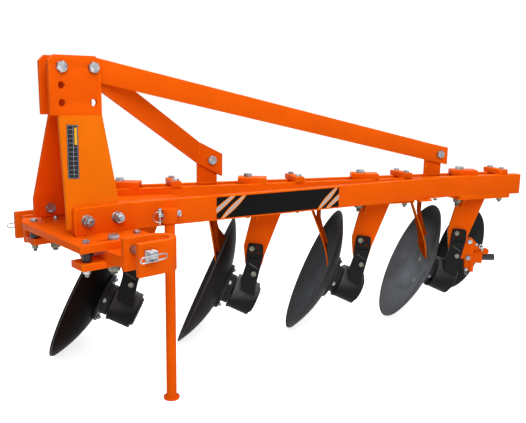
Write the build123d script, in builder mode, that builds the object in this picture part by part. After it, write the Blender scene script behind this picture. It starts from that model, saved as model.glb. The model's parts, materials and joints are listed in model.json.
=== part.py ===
# Four-disc mounted disc plough.
# X points to the right of travel, Y points forward, Z points up from the ground. All sizes in mm.
from build123d import *
from math import cos, hypot, radians, sin, sqrt, tan
import os

os.makedirs("parts", exist_ok=True)

# Where the headstock's middle line meets the line of the mast pins, in the machine's own frame
hitch_x = -88.96
hitch_y = 1265.5

# Discs and their bearings; lengths along the axle count from the middle of the disc's rim
disc_count = 4
disc_pitch = 570
disc_d = 660
disc_t = 6
disc_edge = 3
dish_r = 610
disc_angle = 42
disc_tilt = 24
disc_back = -206
disc_side = 130
hub_flange_r = 112
hub_flange_end = 108
hub_boss_r = 72
hub_boss_end = 139
shaft_r = 25
shaft_end = 247
housing_r = 83
housing_start = 145
housing_end = 256
housing_chamfer = 6
cap_r = 68
cap_end = 268
seal_r = 86
seal_w = 10
seat_gap = 0.3
bearing_gap = 0.05
end_gap = 5

# Base plate; its top is the level from which every height of the frame counts
base_rise = 91
base_near = 247
base_far = 318
base_far_cut = 63
base_far_slope = 30
base_front = 50
base_rear = -240
base_t = 25
base_far_l = 110
base_tail_x = -60
base_tail_l = 90
base_tail_step = 20
flange_gap = 10
slot_l = 62
slot_w = 20
slot_in = 43
slot_y = -76

# Beams: two parallel bars carry the discs, one near bar closes the frame
bar_h = 100
bar_t = 20
bar_gap = 76
beam_angle = 21
beam_x = 244
beam_y = -371
beam_front = -200
beam_rear = 2032
near_t = 25
near_front = -2
near_outer = -103
near_straight = -200
near_corner_r = 10
near_bend_s = 1584
brace_t = 12
brace_drop = 28
brace_front = -215
brace_rear = -530
tie_t = 10
tie_start = 1408
tie_end = 1476
tie_reach = 120

# Legs and what clamps them to the beam
flange_t = 20
flange_front = -45
flange_rear = 262
flange_near = -82
flange_far = 66
leg_t = 25
leg_side = 50
leg_over_axle = 33
lug_drop = 426
lug_neck_drop = 360
rib_at = 36
rib_t = 10
rib_w = 58
rib_h = 66
bracket_t = 14
bracket_line = 90
bracket_corner_r = 10
web_line = 46
web_front = -30
web_rear = 35
pivot_l = 130
pivot_w = 78
pivot_bolt_at = 45
clamp_at = 228
clamp_w = 42
clamp_l = 140
clamp_t = 25
hole_r = 6.5

# Scrapers
scraper_back = -178
scraper_bar_t = 10
scraper_bar_w = 44
scraper_foot_t = 12
scraper_foot_w = 56
scraper_tip_back = -146
scraper_tip_up = 128
scraper_tip_w = 28
scraper_blade_t = 8
scraper_gap = 15

# Mast
mast_t = 15
mast_foot_gap = 22
mast_strip_h = 91
mast_rise = 622
mast_head_h = 203
mast_head_half = 46
mast_far_x = 224
mast_front = 14
mast_head_front = 43
mast_rear_top = -148
mast_rear_foot = -200
mast_chamfer = 20
mast_hole_r = 13
mast_hole_front = 0
mast_hole_rear = -118
mast_hole_drops = (40, 101, 161)
lug_t = 20
lug_front = -25
lug_rear = -185

# Stays and posts
stay_t = 16
stay_h = 84
pin_gap = 0.3
collar_r = 20
post_w = 90
post_t = 20
post_lift = 6
post_h = 235
post_front_s = 385
post_rear_s = 1565
stay_pin_drop = 37
stay_end = 48
stay_level = 40
stay_knee = 12
stay_spare = 60
stay_reach = 250
long_pin_s = 1588
short_pin_s = 402

# Hitch brackets
arm_t = 40
arm_w = 80
arm_in = 150
ear_near_out = 98
ear_far_out = 27
clamp_plate_t = 25
clamp_plate_w = 88
clamp_plate_rear = -225
bush_r = 17
strap_t = 22
strap_gap = 72
strap_h = 110
strap_l = 166
strap_pin_back = 34
hitch_pin_r = 14
hitch_pin_gap = 0.2
hitch_collar_r = 17
hitch_collar_l = 32

# Parking stand
stand_along = 160
stand_r = 20
stand_gap = 0.08
stand_over = 70
foot_r = 32
foot_t = 10
sleeve_r = 30
sleeve_off = 1.5
sleeve_lift = 19
sleeve_h = 52
pad_w = 44
lock_r = 10
lock_lift = 50
lock_gap = 0.3
lock_skin = 1
lock_front = 46
lock_rear = 34
lock_head_r = 13
lock_head_l = 10

# Rear furrow wheel and the bracket that carries it behind the last leg
wheel_r = 245
wheel_t = 10
wheel_bevel = 16
wheel_edge = 2
wheel_x = -185
wheel_y = -2336
wheel_drop = 388
wheel_camber = 8
wheel_hub_r = 48
wheel_hub_half = 34
axle_r = 17
axle_near = 114
axle_far = 51
axle_cap_r = 30
axle_cap_t = 12
axle_sleeve_r = 30
axle_sleeve_near = 110
axle_sleeve_far = 60
wheel_arm_t = 20
wheel_arm_at = 116
wheel_arm_drop = 344
wheel_arm_h = 78
spindle_r = 18
spindle_drop = 361
spindle_box = 56
spindle_box_start = 92
spindle_box_end = 179
spindle_start = 100
spindle_end = 249


def turned(angle):
    """Horizontal direction that points backwards, turned to the left by an angle in degrees."""
    return Vector(-sin(radians(angle)), -cos(radians(angle)), 0)


# Levels that follow from the discs: the dish, the disc's middle, and the base plate above its upper rim
dish_depth = dish_r - sqrt(dish_r**2 - (disc_d / 2) ** 2)
dish_centre = dish_depth - dish_r
rim_back_r = disc_d / 2 - disc_edge
rim_back = dish_centre + sqrt((dish_r + disc_t) ** 2 - rim_back_r**2)
disc_height = rim_back_r * cos(radians(disc_tilt)) + rim_back * sin(radians(disc_tilt))
base_top = disc_d * cos(radians(disc_tilt)) + base_rise

hitch = Plane(origin=(hitch_x, hitch_y, 0))
beam = Plane(origin=hitch.from_local_coords((beam_x, beam_y, 0)), x_dir=turned(beam_angle), z_dir=(0, 0, 1))
hitch_side = Plane(origin=hitch.origin, x_dir=(0, 1, 0), z_dir=(1, 0, 0))
hitch_rear = Plane(origin=hitch.origin, x_dir=(1, 0, 0), z_dir=(0, -1, 0))
bar_top = base_top + bar_h
mast_top = base_top + mast_rise
mast_head_low = mast_top - mast_head_h
mast_strip_top = base_top + mast_strip_h
mast_hole_z = tuple(mast_top - drop for drop in mast_hole_drops)
post_foot = base_top + post_lift
post_top = post_foot + post_h
stay_pin_z = post_top - stay_pin_drop
beam_half = bar_gap / 2 + bar_t


def on_beam(s, t):
    """Hitch coordinates of a point s along the main beam and t to its far side."""
    point = hitch.to_local_coords(beam.from_local_coords((s, t, 0)))
    return point.X, point.Y


def leg_frame(k):
    """Plane at the foot of pivot bolt k: x runs back along the disc's axle, y to the far side."""
    bolt_point = beam.from_local_coords((k * disc_pitch, 0, 0))
    return Plane(origin=bolt_point, x_dir=turned(disc_angle), z_dir=(0, 0, 1))


def over_axle(a, r):
    """Height of the line that runs along the disc's axle, r above it, at a behind the pivot bolt."""
    return disc_height - (a - disc_back) * tan(radians(disc_tilt)) + r / cos(radians(disc_tilt))


def before_dish(rise):
    """Point of the leg's upright plane at scraper_gap in front of the dished face, rise above the axle."""
    along = dish_centre + sqrt(dish_r**2 - rise**2 - disc_side**2) - scraper_gap
    back = along * cos(radians(disc_tilt)) + rise * sin(radians(disc_tilt))
    return disc_back + back, disc_height - along * sin(radians(disc_tilt)) + rise * cos(radians(disc_tilt))


def upright(plane, offset=0):
    """Upright sketch plane on a level plane's x axis: x as before, y up, normal to the near side."""
    return Plane(origin=plane.from_local_coords((0, offset, 0)), x_dir=plane.x_dir, z_dir=-plane.y_dir)


# Plan lines of the near beam: straight beside the mast, slanted, then along the main beam
near_bend = on_beam(near_bend_s, -beam_half - near_t)
near_tail = on_beam(beam_rear, -beam_half - near_t)
slant_run = near_straight - near_bend[1]
slant_shift = near_outer - near_bend[0]
slant = Plane(
    origin=hitch.from_local_coords((near_outer, near_straight, 0)),
    x_dir=(-slant_shift, -slant_run, 0),
    z_dir=(0, 0, 1),
)
slant_cos = slant_run / hypot(slant_run, slant_shift)


def near_inner_x(y):
    """X of the near beam's inner face where it slants."""
    return near_outer - (near_straight - y) * slant_shift / slant_run + near_t / slant_cos


def main_inner_x(y):
    """X of the main beam's near face."""
    front = on_beam(0, -beam_half)
    return front[0] + (y - front[1]) * sin(radians(beam_angle)) / cos(radians(beam_angle))


# ---------------------------------------------------------------- base plate
with BuildPart() as base_plate:
    with BuildSketch(hitch.offset(base_top - base_t)):
        with BuildLine():
            Polyline(
                (-base_near, base_front),
                (base_far - base_far_cut, base_front),
                (base_far, base_front - base_far_slope),
                (base_far, base_front - base_far_l),
                on_beam(beam_front, beam_half),
                on_beam(flange_front - flange_gap, beam_half),
                on_beam(flange_front - flange_gap, flange_near),
                (base_tail_x, base_rear - base_tail_l),
                (base_tail_x - base_tail_step, base_rear),
                (-base_near, base_rear),
                close=True,
            )
        make_face()
        with Locations((slot_in - base_near, slot_y)):
            SlotOverall(slot_l, slot_w, rotation=90, mode=Mode.SUBTRACT)
    extrude(amount=base_t)
base_plate.part.label = "base_plate"
export_step(base_plate.part, "parts/base_plate.step")

# ---------------------------------------------------------------- beams
with BuildPart() as main_beam:
    with BuildSketch(beam.offset(base_top)):
        with Locations(*[((beam_front + beam_rear) / 2, side * (bar_gap + bar_t) / 2) for side in (-1, 1)]):
            Rectangle(beam_rear - beam_front, bar_t)
    extrude(amount=bar_h)
main_beam.part.label = "main_beam"
export_step(main_beam.part, "parts/main_beam.step")

with BuildPart() as near_beam:
    with BuildSketch(hitch.offset(base_top)):
        with BuildLine():
            Polyline(
                (near_outer, near_front),
                (near_outer, near_straight),
                near_bend,
                near_tail,
                on_beam(beam_rear, -beam_half),
                on_beam(near_bend_s, -beam_half),
                (near_outer + near_t, near_straight),
                (near_outer + near_t, near_front),
                close=True,
            )
        make_face()
    extrude(amount=bar_h)
    fillet(near_beam.edges().filter_by(Axis.X).group_by(Axis.Y)[-1], near_corner_r)
near_beam.part.label = "near_beam"
export_step(near_beam.part, "parts/near_beam.step")

with BuildPart() as brace_plate:
    with BuildSketch(hitch.offset(bar_top - brace_drop - brace_t)):
        with BuildLine():
            Polyline(
                (near_inner_x(brace_front), brace_front),
                (near_inner_x(brace_rear), brace_rear),
                (main_inner_x(brace_rear), brace_rear),
                (main_inner_x(brace_front), brace_front),
                close=True,
            )
        make_face()
    extrude(amount=brace_t)
brace_plate.part.label = "brace_plate"
export_step(brace_plate.part, "parts/brace_plate.step")

with BuildPart() as tie_plate:
    with BuildSketch(beam.offset(base_top - tie_t)):
        with Locations(((tie_start + tie_end) / 2, -(tie_reach + bar_gap / 2) / 2)):
            Rectangle(tie_end - tie_start, tie_reach - bar_gap / 2)
    extrude(amount=tie_t)
tie_plate.part.label = "tie_plate"
export_step(tie_plate.part, "parts/tie_plate.step")

# ---------------------------------------------------------------- mast
mast_profiles = (  # name, outer x at the foot, side of the outer face
    ("mast_plate_near", near_outer + near_t, -1),
    ("mast_plate_far", mast_far_x, 1),
)
for name, foot_x, side in mast_profiles:
    with BuildPart() as mast_plate:
        with BuildSketch(hitch_rear):
            with BuildLine():
                Polyline(
                    (foot_x, base_top + mast_foot_gap),
                    (foot_x, mast_strip_top),
                    (side * mast_head_half, mast_head_low),
                    (side * mast_head_half, mast_top),
                    (side * (mast_head_half - mast_t), mast_top),
                    (side * (mast_head_half - mast_t), mast_head_low),
                    (foot_x - side * mast_t, mast_strip_top),
                    (foot_x - side * mast_t, base_top + mast_foot_gap),
                    close=True,
                )
            make_face()
        extrude(amount=mast_rise, both=True)
        with BuildSketch(hitch_side):
            with BuildLine():
                Polyline(
                    (mast_front, base_top + mast_foot_gap),
                    (mast_front, mast_head_low),
                    (mast_head_front, mast_head_low),
                    (mast_head_front, mast_top - mast_chamfer),
                    (mast_head_front - mast_chamfer, mast_top),
                    (mast_rear_top + mast_chamfer, mast_top),
                    (mast_rear_top, mast_top - mast_chamfer),
                    (mast_rear_top, mast_head_low),
                    (mast_rear_foot, base_top + mast_foot_gap),
                    close=True,
                )
            make_face()
            with Locations(
                *[(mast_hole_front, z) for z in mast_hole_z],
                *[(mast_hole_rear, z) for z in mast_hole_z[::2]],
            ):
                Circle(mast_hole_r, mode=Mode.SUBTRACT)
        extrude(amount=mast_rise, both=True, mode=Mode.INTERSECT)
    mast_plate.part.label = name
    export_step(mast_plate.part, f"parts/{name}.step")

with BuildPart() as mast_lug:
    with BuildSketch(hitch.offset(base_top)):
        with Locations((mast_far_x + lug_t / 2, (lug_front + lug_rear) / 2)):
            Rectangle(lug_t, lug_front - lug_rear)
    extrude(amount=mast_strip_top - base_top)
mast_lug.part.label = "mast_lug"
export_step(mast_lug.part, "parts/mast_lug.step")

mast_inner = mast_head_half - mast_t
with BuildPart() as mast_pins:
    with BuildSketch(hitch_side.offset(-mast_head_half)):
        with Locations((mast_hole_front, mast_hole_z[0]), (mast_hole_rear, mast_hole_z[0])):
            Circle(mast_hole_r - pin_gap)
    extrude(amount=2 * mast_head_half)
    with BuildSketch(hitch_side.offset(-mast_inner)):
        with Locations((mast_hole_rear, mast_hole_z[0])):
            Circle(collar_r)
    extrude(amount=mast_inner - stay_t)
    with BuildSketch(hitch_side.offset(stay_t)):
        with Locations((mast_hole_rear, mast_hole_z[0])):
            Circle(collar_r)
    extrude(amount=mast_inner - stay_t)
    with BuildSketch(hitch_side.offset(-mast_inner)):
        with Locations((mast_hole_front, mast_hole_z[0])):
            Circle(collar_r)
    extrude(amount=2 * mast_inner)
mast_pins.part.label = "mast_pins"
export_step(mast_pins.part, "parts/mast_pins.step")

# ---------------------------------------------------------------- posts and stays
with BuildPart() as posts:
    with BuildSketch(beam.offset(post_foot)):
        with Locations(*[(s, bar_gap / 2 - post_t / 2) for s in (post_front_s, post_rear_s)]):
            Rectangle(post_w, post_t)
    extrude(amount=post_top - post_foot)
posts.part.label = "posts"
export_step(posts.part, "parts/posts.step")

stay_t_near = bar_gap / 2 - post_t - stay_t
stays = (  # name, side of the mast's middle, place of the rear pin along the beam
    ("stay_long", -1, long_pin_s),
    ("stay_short", 1, short_pin_s),
)
for name, side, pin_s in stays:
    inner, outer = sorted((0, side * stay_t))
    knee = pin_s - post_w / 2 - stay_knee
    tail = pin_s + stay_end
    pin_x, pin_y = on_beam(pin_s, stay_t_near + stay_t / 2)
    run = Vector(pin_x - side * stay_t / 2, pin_y - mast_hole_rear, 0)
    slope = (stay_pin_z - mast_hole_z[0]) / run.length
    half = stay_h / 2 * sqrt(1 + slope**2)
    with BuildPart() as stay:
        with BuildSketch(hitch.offset(base_top)):
            with BuildLine():
                Polyline(
                    (inner, mast_hole_rear + stay_end),
                    (inner, mast_hole_rear - stay_level),
                    on_beam(knee, stay_t_near),
                    on_beam(tail, stay_t_near),
                    on_beam(tail, stay_t_near + stay_t),
                    on_beam(knee, stay_t_near + stay_t),
                    (outer, mast_hole_rear - stay_level),
                    (outer, mast_hole_rear + stay_end),
                    close=True,
                )
            make_face()
        extrude(amount=mast_top - base_top)
        elevation = Plane(
            origin=hitch.from_local_coords((side * stay_t / 2, mast_hole_rear, 0)),
            x_dir=run,
            z_dir=run.rotate(Axis.Z, -90),
        )
        with BuildSketch(elevation):
            with BuildLine():
                Polyline(
                    (-stay_spare, mast_hole_z[0] - stay_spare * slope - half),
                    (-stay_spare, mast_hole_z[0] - stay_spare * slope + half),
                    (run.length + stay_spare, stay_pin_z + stay_spare * slope + half),
                    (run.length + stay_spare, stay_pin_z + stay_spare * slope - half),
                    close=True,
                )
            make_face()
        extrude(amount=stay_reach, both=True, mode=Mode.INTERSECT)
        with BuildSketch(hitch_side):
            with Locations((mast_hole_rear, mast_hole_z[0])):
                Circle(mast_hole_r)
        extrude(amount=2 * stay_t, both=True, mode=Mode.SUBTRACT)
    stay.part.label = name
    export_step(stay.part, f"parts/{name}.step")

# ---------------------------------------------------------------- clamps on top of the main beam
with BuildPart() as pivot_plates:
    for k in range(disc_count):
        with BuildSketch(leg_frame(k).offset(bar_top)):
            with Locations((pivot_l / 2 - pivot_bolt_at, 0)):
                Rectangle(pivot_l, pivot_w)
    extrude(amount=clamp_t)
pivot_plates.part.label = "pivot_plates"
export_step(pivot_plates.part, "parts/pivot_plates.step")

with BuildPart() as clamp_bars:
    with BuildSketch(beam.offset(bar_top)):
        with Locations(*[(k * disc_pitch + clamp_at, 0) for k in range(disc_count)]):
            Rectangle(clamp_w, clamp_l)
    extrude(amount=clamp_t)
clamp_bars.part.label = "clamp_bars"
export_step(clamp_bars.part, "parts/clamp_bars.step")

# ---------------------------------------------------------------- legs, bearings, discs, scrapers
flange_low = base_top - flange_t
leg_low = disc_height + leg_over_axle
leg_plain = (  # back from the pivot bolt, height
    (2, leg_low),
    (-12, base_top - 285),
    (-19, base_top - 209),
    (26, flange_low),
    (165, flange_low),
    (80, base_top - 254),
    (70, base_top - 294),
    (46, leg_low),
)
leg_wheel = leg_plain[:6] + (  # the last leg has a lug for the wheel bracket
    (107, base_top - 245),
    (146, base_top - 285),
    (146, base_top - 302),
    (118, base_top - 318),
    (118, base_top - lug_drop),
    (82, base_top - lug_drop),
    (78, base_top - lug_neck_drop),
    (46, leg_low),
)
bracket_rear = (
    (41, over_axle(41, bracket_line)),
    (74, base_top - 254),
    (73, base_top - 201),
)
bracket_front = (
    (4, base_top - 194),
    (-5, base_top - 248),
    (-9, base_top - 304),
    (web_front, over_axle(web_front, bracket_line)),
)
bracket_holes = (
    (21, base_top - 217),
    (46, base_top - 216),
    (25, base_top - 239),
    (54, base_top - 244),
    (30, disc_height + 52),
)
web_outline = (
    (web_front, over_axle(web_front, bracket_line)),
    (41, over_axle(41, bracket_line)),
    (web_rear, over_axle(web_rear, web_line)),
    (web_front, over_axle(web_front, web_line)),
)
blade_outline = (  # back and up from the middle of the disc, as parts of its radius
    (0.17, 0.51),
    (0.17, 1.04),
    (0.265, 1.04),
    (0.333, 0.88),
)
blade_edge = (0.87, 0.74, 0.6, 0.44)  # rises of the blade's edge over the axle, in disc radii

for k in range(disc_count):
    number = k + 1
    frame = leg_frame(k)
    centre = frame.from_local_coords((disc_back, disc_side, disc_height))
    axle_dir = turned(disc_angle) * cos(radians(disc_tilt)) - Vector(0, 0, sin(radians(disc_tilt)))
    meridian = Plane(origin=centre, x_dir=axle_dir, z_dir=frame.y_dir)
    axle = Axis(centre, axle_dir)

    with BuildPart() as leg:
        with BuildSketch(beam.offset(flange_low)):
            with Locations((k * disc_pitch + (flange_front + flange_rear) / 2, (flange_near + flange_far) / 2)):
                Rectangle(flange_rear - flange_front, flange_far - flange_near)
        extrude(amount=flange_t)
        with BuildSketch(upright(frame, leg_side)):
            with BuildLine():
                Polyline(*(leg_wheel if number == disc_count else leg_plain), close=True)
            make_face()
        extrude(amount=-leg_t)
        rib_foot = frame.from_local_coords((rib_at, leg_side, 0))
        with BuildSketch(Plane(origin=rib_foot, x_dir=-frame.y_dir, z_dir=-frame.x_dir)):
            with BuildLine():
                Polyline((0, flange_low), (rib_w, flange_low), (0, flange_low - rib_h), close=True)
            make_face()
        extrude(amount=-rib_t)
    leg.part.label = f"leg_{number}"
    export_step(leg.part, f"parts/leg_{number}.step")

    with BuildPart() as hanger:
        with BuildSketch(upright(frame, leg_side)):
            with BuildLine():
                Polyline(*bracket_front, *bracket_rear, close=True)
            make_face()
            fillet(vertices().group_by(Axis.Z)[-2:][0] + vertices().group_by(Axis.Z)[-1], bracket_corner_r)
            with Locations(*bracket_holes):
                Circle(hole_r, mode=Mode.SUBTRACT)
        extrude(amount=bracket_t)
        with BuildSketch(upright(frame, leg_side - bracket_t)):
            with BuildLine():
                Polyline(*web_outline, close=True)
            make_face()
        extrude(amount=-(disc_side - leg_side + bracket_t))
        with BuildSketch(meridian):
            with BuildLine():
                Polyline(
                    (housing_start, 0),
                    (housing_start, seal_r),
                    (housing_start + seal_w, seal_r),
                    (housing_start + seal_w, housing_r),
                    (housing_end, housing_r),
                    (housing_end, cap_r),
                    (cap_end - housing_chamfer, cap_r),
                    (cap_end, cap_r - housing_chamfer),
                    (cap_end, 0),
                    close=True,
                )
            make_face()
        revolve(axis=axle)
        with BuildSketch(Plane(origin=centre + axle_dir * housing_start, z_dir=axle_dir)):
            Circle(shaft_r + bearing_gap)
        extrude(amount=shaft_end + end_gap - housing_start, mode=Mode.SUBTRACT)
    hanger.part.label = f"hanger_{number}"
    export_step(hanger.part, f"parts/hanger_{number}.step")

    with BuildPart() as disc:
        with BuildSketch(meridian):
            with BuildLine():
                rim_in = (0, disc_d / 2)
                rim_out = (rim_back, rim_back_r)
                mid_in = (dish_centre + sqrt(dish_r**2 - (disc_d / 4) ** 2), disc_d / 4)
                mid_out = (dish_centre + sqrt((dish_r + disc_t) ** 2 - (disc_d / 4) ** 2), disc_d / 4)
                ThreePointArc((dish_depth, 0), mid_in, rim_in)
                Line(rim_in, rim_out)
                ThreePointArc(rim_out, mid_out, (dish_depth + disc_t, 0))
                Line((dish_depth + disc_t, 0), (dish_depth, 0))
            make_face()
        revolve(axis=axle)
    disc.part.label = f"disc_{number}"
    export_step(disc.part, f"parts/disc_{number}.step")

    seat_r = dish_r + disc_t + seat_gap
    seat_mid = (dish_centre + sqrt(seat_r**2 - (hub_flange_r / 2) ** 2), hub_flange_r / 2)
    seat_edge = (dish_centre + sqrt(seat_r**2 - hub_flange_r**2), hub_flange_r)
    with BuildPart() as hub:
        with BuildSketch(meridian):
            with BuildLine():
                ThreePointArc((dish_centre + seat_r, 0), seat_mid, seat_edge)
                Polyline(
                    seat_edge,
                    (hub_flange_end, hub_flange_r),
                    (hub_flange_end, hub_boss_r),
                    (hub_boss_end, hub_boss_r),
                    (hub_boss_end, shaft_r),
                    (shaft_end, shaft_r),
                    (shaft_end, 0),
                    (dish_centre + seat_r, 0),
                )
            make_face()
        revolve(axis=axle)
    hub.part.label = f"hub_{number}"
    export_step(hub.part, f"parts/hub_{number}.step")

    scraper_top = base_top - base_t if k == 0 else base_top
    bar_z = scraper_top - scraper_foot_t
    tip_z = disc_height + scraper_tip_up
    foot_local = beam.to_local_coords(frame.from_local_coords((scraper_back, 0, 0)))
    foot_far = foot_local.Y + scraper_foot_w / 2
    with BuildPart() as scraper:
        with BuildSketch(beam.offset(bar_z)):
            with Locations((foot_local.X, (foot_far - beam_half) / 2)):
                Rectangle(scraper_foot_w, foot_far + beam_half)
        extrude(amount=scraper_foot_t)
        with BuildSketch(upright(frame)):
            with BuildLine():
                Polyline(
                    (scraper_back - scraper_bar_w / 2, bar_z),
                    (scraper_back + scraper_bar_w / 2, bar_z),
                    (scraper_tip_back + scraper_tip_w / 2, tip_z + scraper_tip_w),
                    (scraper_tip_back, tip_z),
                    (scraper_tip_back - scraper_tip_w / 2, tip_z + scraper_tip_w / 2),
                    close=True,
                )
            make_face()
        extrude(amount=scraper_bar_t / 2, both=True)
        with BuildSketch(upright(frame)):
            with BuildLine():
                Polyline(
                    *[(disc_back + back * disc_d / 2, disc_height + up * disc_d / 2) for back, up in blade_outline],
                    *[before_dish(rise * disc_d / 2) for rise in blade_edge],
                    close=True,
                )
            make_face()
        extrude(amount=scraper_blade_t / 2, both=True)
    scraper.part.label = f"scraper_{number}"
    export_step(scraper.part, f"parts/scraper_{number}.step")

# ---------------------------------------------------------------- hitch brackets
clamp_plate_top = base_top - base_t - arm_t
near_bushes = ((base_near - 41, base_front - 41), (base_near - 71, base_rear + 36))
far_bushes = ((base_far - 78, base_front - 43), (base_far - 93, base_rear + 50))
hitch_sides = (
    # name, side, inner ear's inner face, ears' front, ears' middle below the base, arm's middle,
    # pin below the base, clamp plate's outer edge, clamp plate's front, bushes
    ("near", -1, base_near + ear_near_out, -45, 18, -85, 2, base_near - 9, 40, near_bushes),
    ("far", 1, base_far + ear_far_out, 3, 52, -60, 54, base_far - 18, 21, far_bushes),
)
for name, side, ear_x, ear_front, ear_drop, arm_y, pin_drop, plate_x, plate_front, bushes in hitch_sides:
    outside = strap_gap / 2 + strap_t
    mid_x = side * (ear_x + outside)
    bight_y = ear_front - strap_l + outside
    with BuildPart() as bracket:
        with BuildSketch(hitch.offset(clamp_plate_top)):
            with Locations((side * (arm_in + ear_x) / 2, arm_y)):
                Rectangle(ear_x - arm_in, arm_w)
        extrude(amount=arm_t)
        with BuildSketch(hitch.offset(base_top - ear_drop - strap_h / 2)):
            with Locations((mid_x, (ear_front + bight_y) / 2)):
                Rectangle(2 * outside, ear_front - bight_y)
            with Locations((mid_x, bight_y)):
                Circle(outside)
            with Locations((mid_x, (ear_front + bight_y) / 2)):
                Rectangle(strap_gap, ear_front - bight_y, mode=Mode.SUBTRACT)
            with Locations((mid_x, bight_y)):
                Circle(strap_gap / 2, mode=Mode.SUBTRACT)
        extrude(amount=strap_h)
        pin_plane = Plane(origin=hitch.from_local_coords((mid_x, 0, 0)), x_dir=(0, side, 0), z_dir=(side, 0, 0))
        pin_spot = (side * (ear_front - strap_pin_back), base_top - pin_drop)
        with BuildSketch(pin_plane):
            with Locations(pin_spot):
                Circle(hitch_pin_r + hitch_pin_gap)
        extrude(amount=outside + end_gap, both=True, mode=Mode.SUBTRACT)
    bracket.part.label = f"hitch_bracket_{name}"
    export_step(bracket.part, f"parts/hitch_bracket_{name}.step")

    with BuildPart() as hitch_pin:
        with BuildSketch(pin_plane.offset(-outside)):
            with Locations(pin_spot):
                Circle(hitch_pin_r)
        extrude(amount=2 * outside)
        with BuildSketch(pin_plane.offset(outside)):
            with Locations(pin_spot):
                Circle(hitch_collar_r)
        extrude(amount=hitch_collar_l)
    hitch_pin.part.label = f"hitch_pin_{name}"
    export_step(hitch_pin.part, f"parts/hitch_pin_{name}.step")

    with BuildPart() as clamp_plate:
        with BuildSketch(hitch.offset(clamp_plate_top - clamp_plate_t)):
            with Locations((side * (plate_x - clamp_plate_w / 2), (plate_front + clamp_plate_rear) / 2)):
                Rectangle(clamp_plate_w, plate_front - clamp_plate_rear)
        extrude(amount=clamp_plate_t)
    clamp_plate.part.label = f"clamp_plate_{name}"
    export_step(clamp_plate.part, f"parts/clamp_plate_{name}.step")

    with BuildPart() as bush:
        with BuildSketch(hitch.offset(clamp_plate_top)):
            with Locations(*[(side * x, y) for x, y in bushes]):
                Circle(bush_r)
        extrude(amount=arm_t)
    bush.part.label = f"bushes_{name}"
    export_step(bush.part, f"parts/bushes_{name}.step")

# ---------------------------------------------------------------- parking stand
stand_point = slant.from_local_coords((stand_along, -sleeve_r - sleeve_off, 0))
sleeve_low = base_top + sleeve_lift
lock_z = base_top + lock_lift
lock = Plane(origin=stand_point + Vector(0, 0, lock_z), x_dir=(0, 0, 1), z_dir=slant.x_dir)
with BuildPart() as stand_sleeve:
    with BuildSketch(Plane(origin=stand_point).offset(sleeve_low)):
        Circle(sleeve_r)
    extrude(amount=sleeve_h)
    with BuildSketch(slant.offset(sleeve_low)):
        with Locations((stand_along, -sleeve_r / 2)):
            Rectangle(pad_w, sleeve_r)
    extrude(amount=sleeve_h)
    with BuildSketch(Plane(origin=stand_point).offset(sleeve_low)):
        Circle(stand_r + stand_gap)
    extrude(amount=sleeve_h, mode=Mode.SUBTRACT)
    with BuildSketch(lock):
        Circle(lock_r + lock_gap)
    extrude(amount=lock_front, both=True, mode=Mode.SUBTRACT)
stand_sleeve.part.label = "stand_sleeve"
export_step(stand_sleeve.part, "parts/stand_sleeve.step")

with BuildPart() as stand:
    with BuildSketch(Plane(origin=stand_point)):
        Circle(foot_r)
    extrude(amount=foot_t)
    with BuildSketch(Plane(origin=stand_point).offset(foot_t)):
        Circle(stand_r)
    extrude(amount=base_top + stand_over - foot_t)
stand.part.label = "stand"
export_step(stand.part, "parts/stand.step")

lock_start = stand_r + lock_skin
with BuildPart() as lock_pin:
    with BuildSketch(lock.offset(lock_start)):
        Circle(lock_r)
    extrude(amount=lock_rear - lock_start)
    with BuildSketch(lock.offset(lock_rear)):
        Circle(lock_head_r)
    extrude(amount=lock_head_l)
    with BuildSketch(lock.offset(-lock_start)):
        Circle(lock_r)
    extrude(amount=-(lock_front - lock_start))
lock_pin.part.label = "lock_pin"
export_step(lock_pin.part, "parts/lock_pin.step")

# ---------------------------------------------------------------- rear furrow wheel
wheel_centre = hitch.from_local_coords((wheel_x, wheel_y, base_top - wheel_drop))
wheel_dir = Vector(cos(radians(wheel_camber)), 0, sin(radians(wheel_camber)))
wheel_meridian = Plane(origin=wheel_centre, x_dir=wheel_dir, z_dir=(0, 1, 0))
wheel_axis = Axis(wheel_centre, wheel_dir)
with BuildPart() as furrow_wheel:
    with BuildSketch(wheel_meridian):
        with BuildLine():
            Polyline(
                (-wheel_hub_half, axle_r + bearing_gap),
                (-wheel_hub_half, wheel_hub_r),
                (-wheel_t / 2, wheel_hub_r),
                (-wheel_t / 2, wheel_r - wheel_bevel),
                (-wheel_edge / 2, wheel_r),
                (wheel_edge / 2, wheel_r),
                (wheel_t / 2, wheel_r - wheel_bevel),
                (wheel_t / 2, wheel_hub_r),
                (wheel_hub_half, wheel_hub_r),
                (wheel_hub_half, axle_r + bearing_gap),
                close=True,
            )
        make_face()
    revolve(axis=wheel_axis)
furrow_wheel.part.label = "furrow_wheel"
export_step(furrow_wheel.part, "parts/furrow_wheel.step")

with BuildPart() as wheel_axle:
    with BuildSketch(wheel_meridian):
        with BuildLine():
            Polyline(
                (-axle_near, 0),
                (-axle_near, axle_r),
                (-wheel_hub_half - end_gap - axle_cap_t, axle_r),
                (-wheel_hub_half - end_gap - axle_cap_t, axle_cap_r),
                (-wheel_hub_half - end_gap, axle_cap_r),
                (-wheel_hub_half - end_gap, axle_r),
                (wheel_hub_half + end_gap, axle_r),
                (wheel_hub_half + end_gap, axle_cap_r),
                (axle_far, axle_cap_r),
                (axle_far, 0),
                close=True,
            )
        make_face()
    revolve(axis=wheel_axis)
wheel_axle.part.label = "wheel_axle"
export_step(wheel_axle.part, "parts/wheel_axle.step")

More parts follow.
